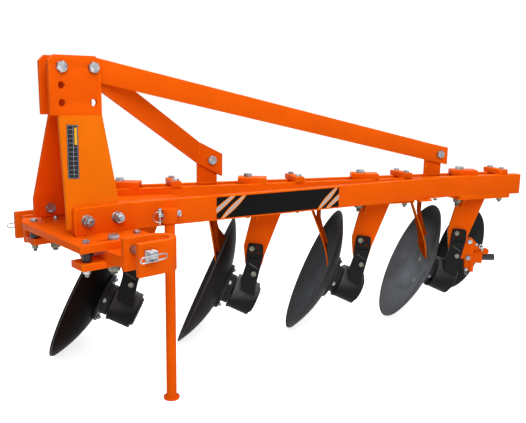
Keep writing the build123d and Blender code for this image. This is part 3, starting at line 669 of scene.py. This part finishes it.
# what turns with each disc
discBolts = {
    "circle": 0.093,
    "dish": 0.610,                   # radius of the sphere that the disc is part of
    "rim": 0.330,
    "flangeBack": 0.108,
    "stud": 0.006,
    "turn": (14, 33, 86, 79),        # degrees, for each disc
    "head": ((0, -0.002), (0.013, -0.002), (0.0128, 0.0006), (0.010, 0.0022), (0.005, 0.0030), (0, 0.0032)),
}
dishCentre = -sqrt(discBolts["dish"] ** 2 - discBolts["rim"] ** 2)
seat = dishCentre + sqrt(discBolts["dish"] ** 2 - discBolts["circle"] ** 2)
for k in range(1, 5):
    joint = joints[f"disc_{k}_spin"]
    centre, axle = np.array(joint["pos_m"]), np.array(joint["axis"])
    axle = axle / np.linalg.norm(axle)
    rise = np.cross(discFar, axle)
    rise = rise * np.sign(rise[2]) / np.linalg.norm(rise)
    turning, heads = [], []
    for n in range(4):
        angle = radians(90 * n + discBolts["turn"][k - 1])
        out = (rise * cos(angle) + discFar * sin(angle)) * discBolts["circle"]
        turning += bolt("M12", centre + axle * discBolts["flangeBack"] + out, axle, discBolts["stud"])
        inward = -(axle * (seat - dishCentre) + out)
        heads.append(lathe(discBolts["head"], centre + axle * seat + out, inward))
    surfacePiece(f"hubNuts{k}", turning, f"disc_{k}", zinc)
    surfacePiece(f"discBoltHeads{k}", heads, f"disc_{k}", shadedOlive)
print("bolts made:", boltCount)

# ends of the hitch pins and their wire clips
clip = {"wire": 0.0024, "halfLength": 0.047, "halfHeight": 0.009, "rise": 0.04}
pinEnd = {"half": 0.0172, "cut": 0.002, "ribs": 4, "ribPitch": 0.006, "ribDeep": 0.0012, "length": 0.0285}
pinPlaces = (  # side, place of the square end, place of the clip
    (-1, (-0.4635, -0.079, 0.692), (-0.4965, -0.076, 0.689)),
    (1, (0.4635, -0.031, 0.640), (0.4965, -0.028, 0.634)),
)


def clipLoop(x, y, z):
    # a stadium in the plane of Y and Z: two straight runs joined by half circles
    angle = np.linspace(0, 2 * pi, 48, endpoint=False)
    r = clip["halfHeight"]
    straight = clip["halfLength"] - r
    along = r * np.cos(angle) + straight * np.clip(np.cos(angle) * 4, -1, 1)
    path = carried(at(x, y, z), (along, (0, 1, -clip["rise"])), (r * np.sin(angle), up))
    return tube(path, clip["wire"], farX, 8, True)


def squareEnd(side, x, y, z):
    # a square block turned on four flats, its faces ribbed along the pin
    half, inner, end = pinEnd["half"], pinEnd["half"] - pinEnd["ribDeep"], pinEnd["length"]
    rows = [(0, 0), (half - pinEnd["cut"], 0, 1), (half, pinEnd["cut"], 1)]
    for n in range(pinEnd["ribs"]):
        low = 0.004 + n * pinEnd["ribPitch"]
        rows += [(half, low, 1), (inner, low + 0.002, 1), (half, low + 0.004, 1)]
    rows += [(half - pinEnd["cut"], end, 1), (0, end)]
    return lathe(rows, at(x, y, z), (side, 0, 0), 40, pi / 4, 4)


pinParts = [squareEnd(side, *place) for side, place, _ in pinPlaces]
pinParts += [clipLoop(*place) for _, _, place in pinPlaces]
surfacePiece("hitchPinEnds", pinParts, "frame", zinc, 25)

# linch pin of the stand, with its ring; every place is along the near beam, out of it and up
standOut = 0.0315                    # the stand tube's middle, out of the near beam
linch = {
    "along": 0.121,
    "z": 0.744,
    "head": ((0, 0), (0.0075, 0), (0.009, 0.002), (0.009, 0.012), (0.006, 0.016), (0, 0.017)),
    "shank": ((0, 0), (0.0045, 0), (0.0045, 0.026), (0.002, 0.030), (0, 0.030)),
    "ringAlong": 0.112,
    "ringZ": 0.738,
    "ringRadius": 0.0195,
    "wire": 0.0014,
}
angle = np.linspace(0, 2 * pi, 40, endpoint=False)
ringAlong, ringRise = 0.9 * linch["ringRadius"] * np.cos(angle), linch["ringRadius"] * np.sin(angle)
ringOut = standOut + 0.010 + 0.010 * np.cos(angle)
ringPath = onSlant(linch["ringAlong"] + ringAlong, ringOut, linch["ringZ"] + ringRise)
linchParts = [
    tube(ringPath, linch["wire"], slantOut, 8, True),
    lathe(linch["head"], onSlant(linch["along"], standOut, linch["z"] + 0.009), up),
    lathe(linch["shank"], onSlant(linch["along"], standOut, linch["z"] - 0.008), -up, 16),
]
surfacePiece("linchPin", linchParts, "frame", zinc)

# scrapers: a foot under the beam, a bent bar down from it, and a leaf-shaped blade across the dish
scraper = {
    "nearEdge": -0.015,
    "thick": 0.007,
    "top": 0.672,
    "low": 0.350,
    "lowBow": 0.014,                 # how far the lower edge bulges
    "lowRise": 0.017,                # and rises to the far side
    "curlAt": 0.415,                 # height where the blade starts to lean
    "curl": 0.030,
    "heights": (0.367, 0.489, 0.555, 0.672),
    "widths": (0.272, 0.213, 0.118, 0.075),
    "barWide": 0.021,
    "barThick": 0.012,
    "barBack": 0.0135,
    "barTopBack": 0.022,
    "barHeights": (0.600, 0.535, 0.470),
    "footHalf": 0.028,
    "footAt": -0.1662,
    "footSides": (-0.050, 0.0918),
}
scraperSets = (  # slope of the blade, back of its lower end, turn across the dish in degrees
    (0.395, -0.1415, 4),
    (0.170, -0.1390, 10),
    (0.395, -0.1415, 4),
    (0.395, -0.1415, 4),
)


def bladeBack(k, z):
    # back(z) = lowest - slope * c * ln(1 + e^((z - bend) / c)): upright below the bend and leaning above it
    slope, lowest, _ = scraperSets[k]
    return lowest - slope * scraper["curl"] * np.log1p(np.exp((z - scraper["curlAt"]) / scraper["curl"]))


def blade(k):
    # point(s, t): s across from the near edge, t up; one sheet before and one behind the middle surface
    s, t = np.linspace(0, 1, 13), np.linspace(0, 1, 29)
    foot = scraper["low"] - scraper["lowBow"] * np.sin(pi * s) + scraper["lowRise"] * s
    z = foot[None] * (1 - t[:, None]) + scraper["top"] * t[:, None]
    across = s[None] * np.interp(z, scraper["heights"], scraper["widths"])
    back = bladeBack(k, z) + across * np.tan(radians(scraperSets[k][2]))
    middle = onLeg(k, back, scraper["nearEdge"] + across, z)
    normal = np.cross(np.gradient(middle, axis=0), np.gradient(middle, axis=1))
    normal *= scraper["thick"] / 2 / np.linalg.norm(normal, axis=2, keepdims=True)
    ring = np.concatenate([middle + normal, (middle - normal)[:, ::-1]], 1)
    seam = np.concatenate([middle, middle[:, ::-1]], 1)
    return np.concatenate([seam[:1], ring, seam[-1:]]), False, True


def scraperBar(k):
    # a flat bar through four places, upright under its foot and then along the back of the blade
    heights = np.array([scraperTop(k) - 0.004, *scraper["barHeights"]])
    upright = bladeBack(k, heights[1]) + scraper["barTopBack"]
    middle = np.array([upright, upright, *(bladeBack(k, heights[2:]) + scraper["barBack"])])
    back = np.array([-1, 1, 1, -1]) * scraper["barWide"] / 2
    side = np.array([-1, -1, 1, 1]) * scraper["barThick"] / 2
    return capped(onLeg(k, middle[:, None] + back, side, heights[:, None])), False, True


# the outline isn't moved on by the legs' pitch, so the feet of all four scrapers stand at the first leg
near, far = scraper["footSides"]
front, rear = scraper["footAt"] - scraper["footHalf"], scraper["footAt"] + scraper["footHalf"]
outline = ((front, near), (rear, near), (rear, far), (front, far))
for k in legs:
    foot = slab([onBeam(s, t, scraperTop(k)) for s, t in outline], scraperFoot["thick"], -up)
    parts = [blade(k), scraperBar(k), foot]
    # the scrapers take the darker orange, painted shade
    piece = surfacePiece(f"scraperBlade{k + 1}", parts, "frame", plain["bladeShadePaint"])
    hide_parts(f"scraper_{k + 1}")
# painted highlight: a bright rod along each blade's near edge
heights = np.linspace(scraper["low"], scraper["top"], 29)
highlightRods = []
for k in legs:
    path = onLeg(k, bladeBack(k, heights), scraper["nearEdge"], heights)
    highlightRods.append(tube(path, scraper["thick"] / 2 + 0.0002, discFar, 10))
surfacePiece("scraperEdgeHighlights", highlightRods, "frame", plain["edgeHighlightPaint"])

# weld beads along the joints
welds = {
    "mastFoot": {"x": (-0.0725, 0.2165), "y": (-0.190, 0.010), "z": 0.7155},
    "post": {"along": (0.385, 1.565), "half": 0.043, "side": (0.0175, 0.0385)},
    "leg": {"back": (0.030, 0.160), "side": (0.0505, 0.0745), "low": baseTop - 0.020},
    "bracket": {"back": 0.0365, "side": (0.048, -0.005), "below": 0.003, "long": 0.059},
    "arm": {"x": 0.345, "y": {-1: -0.085, 1: -0.060}, "half": 0.038, "z": (0.669, 0.629)},
    "sleeve": {"along": (0.138, 0.182), "out": 0.001, "z": (0.715, 0.763)},
    "small": 0.004,
}
beads = []
small = welds["small"]
foot, post, leg, bracket = [welds[key] for key in ("mastFoot", "post", "leg", "bracket")]
arm, sleeve = welds["arm"], welds["sleeve"]
for x in foot["x"]:
    beads.append(weldBead([at(x, y, foot["z"]) for y in foot["y"]], up, small))
for s in post["along"]:
    for t in post["side"]:
        beads.append(weldBead([onBeam(s + step, t, barTop) for step in (-post["half"], post["half"])], up))
for k in legs:
    for h in leg["side"]:
        beads.append(weldBead([onLeg(k, a, h, leg["low"]) for a in leg["back"]], up))
    corner, inner = [onLeg(k, bracket["back"], h, leg["low"] - bracket["below"]) for h in bracket["side"]]
    beads.append(weldBead([corner, inner], up, small))
    beads.append(weldBead([corner, corner - up * bracket["long"]], discBack, small))
for side, y in arm["y"].items():
    for z in arm["z"]:
        beads.append(weldBead([at(side * arm["x"], y + step, z) for step in (-arm["half"], arm["half"])], up))
for along in sleeve["along"]:
    beads.append(weldBead([onSlant(along, sleeve["out"], z) for z in sleeve["z"]], slantOut, small))
surfacePiece("weldBeads", beads, "frame", orange, 60)

standWeld = {"along": 0.160, "radius": 0.0205, "z": 0.0115, "size": 0.0035}
angle = np.linspace(0, 2 * pi, 40)
standFoot = onSlant(standWeld["along"], standOut, standWeld["z"])
across, forward = standWeld["radius"] * np.cos(angle), standWeld["radius"] * np.sin(angle)
footRing = carried(standFoot, (across, farX), (forward, (0, 1, 0)))
surfacePiece("footWeld", [weldBead(footRing, up, standWeld["size"])], "stand", orange, 60)

# marks on the bearing brackets: a scribed line, and a black line along the bend that paints the crease's
# shade, each through three points back and up
bracketFace = 0.0359
bracketLines = {  # points, radius
    "scribed": (((0.008, 0.405), (0.028, 0.392), (0.049, 0.377)), 0.0010),
    "bendShade": (((0.006, 0.431), (0.034, 0.430), (0.060, 0.431)), 0.0021),
}


def bracketLine(key):
    points, radius = bracketLines[key]
    back, height = np.array(points).T
    return [tube(onLeg(k, back, bracketFace, height), radius, discFar, 6) for k in legs]


surfacePiece("scribedLines", bracketLine("scribed"), "frame", shadedOlive)
surfacePiece("bendShadeLines", bracketLine("bendShade"), "frame", plain["bendShadeBlack"])

# the wheel bracket's small fittings behind the last leg, placed back, to the far side and up from it
tabOutline = ((0.138, 0.355), (0.138, 0.384), (0.200, 0.386), (0.213, 0.378), (0.214, 0.362), (0.200, 0.352))
barOutline = ((0.108, 0.264), (0.126, 0.264), (0.126, 0.322), (0.108, 0.322))
wheelTabs = ((tabOutline, 0.092, 0.012), (barOutline, 0.0505, 0.008))  # outline, far face, thickness
wheelFit = {
    "eye": (0.158, 0.046, 0.404),
    "eyeReach": (0.009, 0.009),
    "eyeWire": 0.0032,
    "screwFrom": (0.162, 0.050, 0.397),
    "screwTo": (0.178, 0.086, 0.368),
    "screw": (0.0042, 0.050, 0.002),             # radius, length, pitch
    "nut": (0.176, 0.0795, 0.384),
    "nutStud": 0.006,
    "cap": (0.087, 0.050, 0.278),
    "capShape": ((0, 0), (0.009, 0), (0.0095, 0.001), (0.0095, 0.010), (0.008, 0.013), (0, 0.013)),
    "cotter": (0.087, 0.042, 0.262),
    "cotterReach": (0.006, 0.012),
    "cotterWire": 0.0013,
}


def legLoop(place, reachBack, reachUp, wire, around):
    # an ellipse of wire in the leg's plane: back + reachBack * cos a, height + reachUp * sin a
    angle = np.linspace(0, 2 * pi, 24, endpoint=False)
    back, side, height = place
    path = onLeg(3, back + reachBack * np.cos(angle), side, height + reachUp * np.sin(angle))
    return tube(path, wire, discFar, around, True)


tabs = [slab([onLeg(3, a, h, z) for a, z in outline], thick, -discFar) for outline, h, thick in wheelTabs]
surfacePiece("wheelTabs", tabs, "frame", orange)
screwFrom, screwTo = onLeg(3, *wheelFit["screwFrom"]), onLeg(3, *wheelFit["screwTo"])
links = [legLoop(wheelFit["eye"], *wheelFit["eyeReach"], wheelFit["eyeWire"], 8)]
links.append(thread(screwFrom, screwTo - screwFrom, *wheelFit["screw"]))
links += bolt("M8", onLeg(3, *wheelFit["nut"]), -discFar, wheelFit["nutStud"])
links.append(lathe(wheelFit["capShape"], onLeg(3, *wheelFit["cap"]), -discFar))
links.append(legLoop(wheelFit["cotter"], *wheelFit["cotterReach"], wheelFit["cotterWire"], 6))
surfacePiece("wheelFittings", links, "frame", zinc)
print("pins, welds and marks made")


# decal and data plate, both without words
def panel(name, corner, along, upward, outward, size, finish):
    # flat grid of point(u, v) = corner + u * along + v * upward, with u and v in metres as its UV map
    proud = 0.0004
    steps = (24, 6)
    u, v = np.meshgrid(np.linspace(0, size[0], steps[0]), np.linspace(0, size[1], steps[1]), indexing="ij")
    front = carried(corner + outward * proud, (u, along), (v, upward))
    mesh = bpy.data.meshes.new(name)
    mesh.from_pydata(front.reshape(-1, 3), [], gridFaces(*steps, False, False, 0))
    layer = mesh.uv_layers.new(name="plate")
    vertexOf = np.zeros(len(mesh.loops), int)
    mesh.loops.foreach_get("vertex_index", vertexOf)
    layer.data.foreach_set("uv", np.stack([u.ravel()[vertexOf], v.ravel()[vertexOf]], 1).ravel())
    if Vector(mesh.polygons[0].normal).dot(Vector(outward)) < 0:
        mesh.flip_normals()
    mesh.materials.append(finish)
    piece = bpy.data.objects.new(name, mesh)
    bpy.context.scene.collection.objects.link(piece)
    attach(piece, "frame")


def filmBase(name, rough, gloss):
    # a finish laid out by the panel's own u and v
    material, tree, shader, _ = finishBase(name, rough)
    shader.inputs["Specular IOR Level"].default_value = gloss
    uv = tree.nodes.new("ShaderNodeUVMap")
    uv.uv_map = "plate"
    u, v, _ = splitAxes(tree, uv.outputs["UV"])
    return material, tree, shader, u, v


decal = {
    "along": (0.373, 0.978),
    "height": (0.7005, 0.787),
    "film": (0.004, 0.004, 0.004),
    "orange": (0.90, 0.24, 0.004),
    "silver": (0.38, 0.38, 0.41),
    "border": 0.0068,
    "stripes": (  # offset, slope, half width at its ends, swell in the middle
        (-0.044, 1.35, 0.012, 0.006),
        (0.027, 1.15, 0.008, 0.009),
        (0.500, 1.04, 0.008, 0.009),
        (0.545, 1.30, 0.010, 0.008),
    ),
}
decalLong, decalTall = [high - low for low, high in (decal["along"], decal["height"])]


def decalFinish():
    # a stripe is |u - slope * v - offset| < width + swell * sin(pi * v / height), silver with an orange edge
    material, tree, shader, u, v = filmBase("decalFilm", 0.40, 0.05)
    orangeMask, silverMask = 0.0, 0.0
    wave = compute(tree, "SINE", compute(tree, "MULTIPLY", v, pi / decalTall))
    for offset, slope, width, swell in decal["stripes"]:
        leaning = compute(tree, "SUBTRACT", u, compute(tree, "MULTIPLY", v, slope))
        distance = compute(tree, "ABSOLUTE", compute(tree, "SUBTRACT", leaning, offset))
        reach = compute(tree, "ADD", compute(tree, "MULTIPLY", wave, swell), width)
        inside = compute(tree, "SUBTRACT", reach, decal["border"])
        orangeMask = compute(tree, "MAXIMUM", orangeMask, compute(tree, "LESS_THAN", distance, reach))
        silverMask = compute(tree, "MAXIMUM", silverMask, compute(tree, "LESS_THAN", distance, inside))
    bordered = blend(tree, orangeMask, decal["film"], decal["orange"])
    tree.links.new(blend(tree, silverMask, bordered, decal["silver"]), shader.inputs["Base Color"])
    return material


decalCorner = onSlant(decal["along"][0], 0, decal["height"][0])
panel("beamDecal", decalCorner, slantDir, up, slantOut, (decalLong, decalTall), decalFinish())

plate = {
    "corner": (-0.0673, 0.0007, 0.8945),
    "slope": (0.032, 0, 0.328),      # up the mast plate's face
    "lean": 3.2,                     # degrees
    "wide": 0.0425,
    "tall": 0.188,
    "film": (0.010, 0.012, 0.016),
    "lines": (0.35, 0.37, 0.40),
    "mark": (0.80, 0.40, 0.01),
    "border": 0.0022,
    "margin": 0.006,
    "rowPitch": 0.0155,
    "rowThick": 0.0009,
    "columnAt": 0.55,                # share of the width
    "columnHalf": 0.0006,
    "markAt": (0.78, 0.79),          # shares of the width and the height
    "markHalf": (0.0045, 0.030),
    "rivetIn": 0.004,
    "rivet": ((0, 0), (0.0022, 0), (0.0018, 0.0008), (0, 0.0012)),
}


def plateFinish():
    # black film with a pale border and ruled lines: the border is a band of the distance to the nearest edge,
    # a row is v mod pitch < thickness, and the column and the coloured mark are |u - place| < half a width
    material, tree, shader, u, v = filmBase("plateFilm", 0.38, 0.2)
    gaps = []
    for value, length in ((u, plate["wide"]), (v, plate["tall"])):
        fromMiddle = compute(tree, "ABSOLUTE", compute(tree, "SUBTRACT", value, length / 2))
        gaps.append(compute(tree, "SUBTRACT", length / 2, fromMiddle))
    gap = compute(tree, "MINIMUM", *gaps)
    pastBorder = compute(tree, "GREATER_THAN", gap, plate["border"])
    border = compute(tree, "MULTIPLY", pastBorder, compute(tree, "LESS_THAN", gap, plate["border"] * 1.5))
    rows = compute(tree, "LESS_THAN", compute(tree, "MODULO", v, plate["rowPitch"]), plate["rowThick"])
    column = compute(tree, "COMPARE", u, plate["wide"] * plate["columnAt"], plate["columnHalf"])
    ruled = compute(tree, "MAXIMUM", rows, column)
    ruled = compute(tree, "MULTIPLY", ruled, compute(tree, "GREATER_THAN", gap, plate["margin"]))
    lines = compute(tree, "MAXIMUM", border, ruled)
    markU = compute(tree, "COMPARE", u, plate["wide"] * plate["markAt"][0], plate["markHalf"][0])
    markV = compute(tree, "COMPARE", v, plate["tall"] * plate["markAt"][1], plate["markHalf"][1])
    lined = blend(tree, lines, plate["film"], plate["lines"])
    marked = blend(tree, compute(tree, "MULTIPLY", markU, markV), lined, plate["mark"])
    tree.links.new(marked, shader.inputs["Base Color"])
    return material


plateCorner = at(*plate["corner"])
faceUp = np.array(plate["slope"]) / np.linalg.norm(plate["slope"])
rearward = np.array([0, -1.0, 0])
lean = radians(plate["lean"])
plateUp = faceUp * cos(lean) + rearward * sin(lean)
plateAlong = rearward * cos(lean) - faceUp * sin(lean)
plateOut = np.cross(faceUp, rearward)
plateOut = plateOut * -np.sign(plateOut[0])
panel("dataPlate", plateCorner, plateAlong, plateUp, plateOut, (plate["wide"], plate["tall"]), plateFinish())
rivets = []
for v in (plate["rivetIn"], plate["tall"] - plate["rivetIn"]):
    for u in (plate["rivetIn"], plate["wide"] - plate["rivetIn"]):
        place = plateCorner + plateAlong * u + plateUp * v + plateOut * 0.0003
        rivets.append(lathe(plate["rivet"], place, plateOut, 12))
surfacePiece("plateRivets", rivets, "frame", zinc)
print("decal and plate made")

# camera, from the mast
view = {
    "lens": 44.520913,
    "sensor": 36,
    "place": (-2.195, 0.966, 1.225),
    "look": (0.7376, -0.6478, -0.1906),
    "right": (-0.6599, -0.7514, 0.0),            # level, before the roll
    "roll": 0.0158,
}
camera = bpy.data.cameras.new("camera")
camera.sensor_width = view["sensor"]
camera.lens = view["lens"]
camera.clip_start = 0.05
camera.clip_end = 200
look = np.array(view["look"]) / np.linalg.norm(view["look"])
right = np.array(view["right"]) / np.linalg.norm(view["right"])
lift = np.cross(right, look)
turnedRight = right * cos(view["roll"]) + lift * sin(view["roll"])
turnedLift = lift * cos(view["roll"]) - right * sin(view["roll"])
columns = np.stack([turnedRight, turnedLift, -look, at(*view["place"])], 1)
cameraPiece = bpy.data.objects.new("camera", camera)
cameraPiece.matrix_world = Matrix([*columns.tolist(), [0, 0, 0, 1]])
bpy.context.scene.collection.objects.link(cameraPiece)
bpy.context.scene.camera = cameraPiece

# light and floor
lights = {  # place, size, power
    "key": ((-3.2, 2.2, 3.4), 2.6, 128),
    "side": ((-3.6, -2.4, 2.2), 2.2, 18),
    "top": ((0.6, 0.2, 4.2), 3.5, 145),
}
studio = {
    "aim": (0, 0, 0.6),
    "ambient": 0.27,                 # strength of the surroundings as a light
    "floor": 0.90,
    "floorHalf": 30,
    "white": 1.02,                   # what the floor and its own glow add up to for the camera
}
for name, (place, size, power) in lights.items():
    lamp = bpy.data.lights.new(name, "AREA")
    lamp.size = size
    lamp.energy = power
    holder = bpy.data.objects.new(name, lamp)
    holder.location = place
    holder.rotation_euler = (Vector(studio["aim"]) - Vector(place)).to_track_quat("-Z", "Y").to_euler()
    bpy.context.scene.collection.objects.link(holder)


def seenBy(tree, *rays):
    # 1 for a ray of one of these kinds and 0 for the others
    path = tree.nodes.new("ShaderNodeLightPath")
    seen = 0.0
    for ray in rays:
        seen = compute(tree, "MAXIMUM", seen, path.outputs[ray])
    return seen


world = bpy.data.worlds.new("studio")
bpy.context.scene.world = world
world.use_nodes = True
tree = world.node_tree
sky = tree.nodes["Background"]
sky.inputs["Color"].default_value = (1, 1, 1, 1)
seen = seenBy(tree, "Is Camera Ray", "Is Transmission Ray", "Is Glossy Ray")
tree.links.new(mapRange(tree, seen, 0, 1, studio["ambient"], 1.0), sky.inputs["Strength"])

floorMaterial = bpy.data.materials.new("floor")
floorMaterial.use_nodes = True
tree = floorMaterial.node_tree
shader = tree.nodes["Principled BSDF"]
shader.inputs["Base Color"].default_value = (studio["floor"], studio["floor"], studio["floor"], 1)
shader.inputs["Roughness"].default_value = 0.8
shader.inputs["Specular IOR Level"].default_value = 0.1
shader.inputs["Emission Color"].default_value = (1, 1, 1, 1)
glow = studio["white"] - studio["floor"] * studio["ambient"]
seen = seenBy(tree, "Is Camera Ray", "Is Glossy Ray")
tree.links.new(compute(tree, "MULTIPLY", seen, glow), shader.inputs["Emission Strength"])
mesh = bpy.data.meshes.new("floor")
places = np.linspace(-studio["floorHalf"], studio["floorHalf"], 4)
floorGrid = np.stack([*np.meshgrid(places, places, indexing="ij"), np.zeros((4, 4))], -1)
mesh.from_pydata(floorGrid.reshape(-1, 3), [], gridFaces(4, 4, False, False, 0))
mesh.materials.append(floorMaterial)
floor = bpy.data.objects.new("floor", mesh)
bpy.context.scene.collection.objects.link(floor)
bpy.context.scene.view_settings.view_transform = "Standard"
print("stage set")
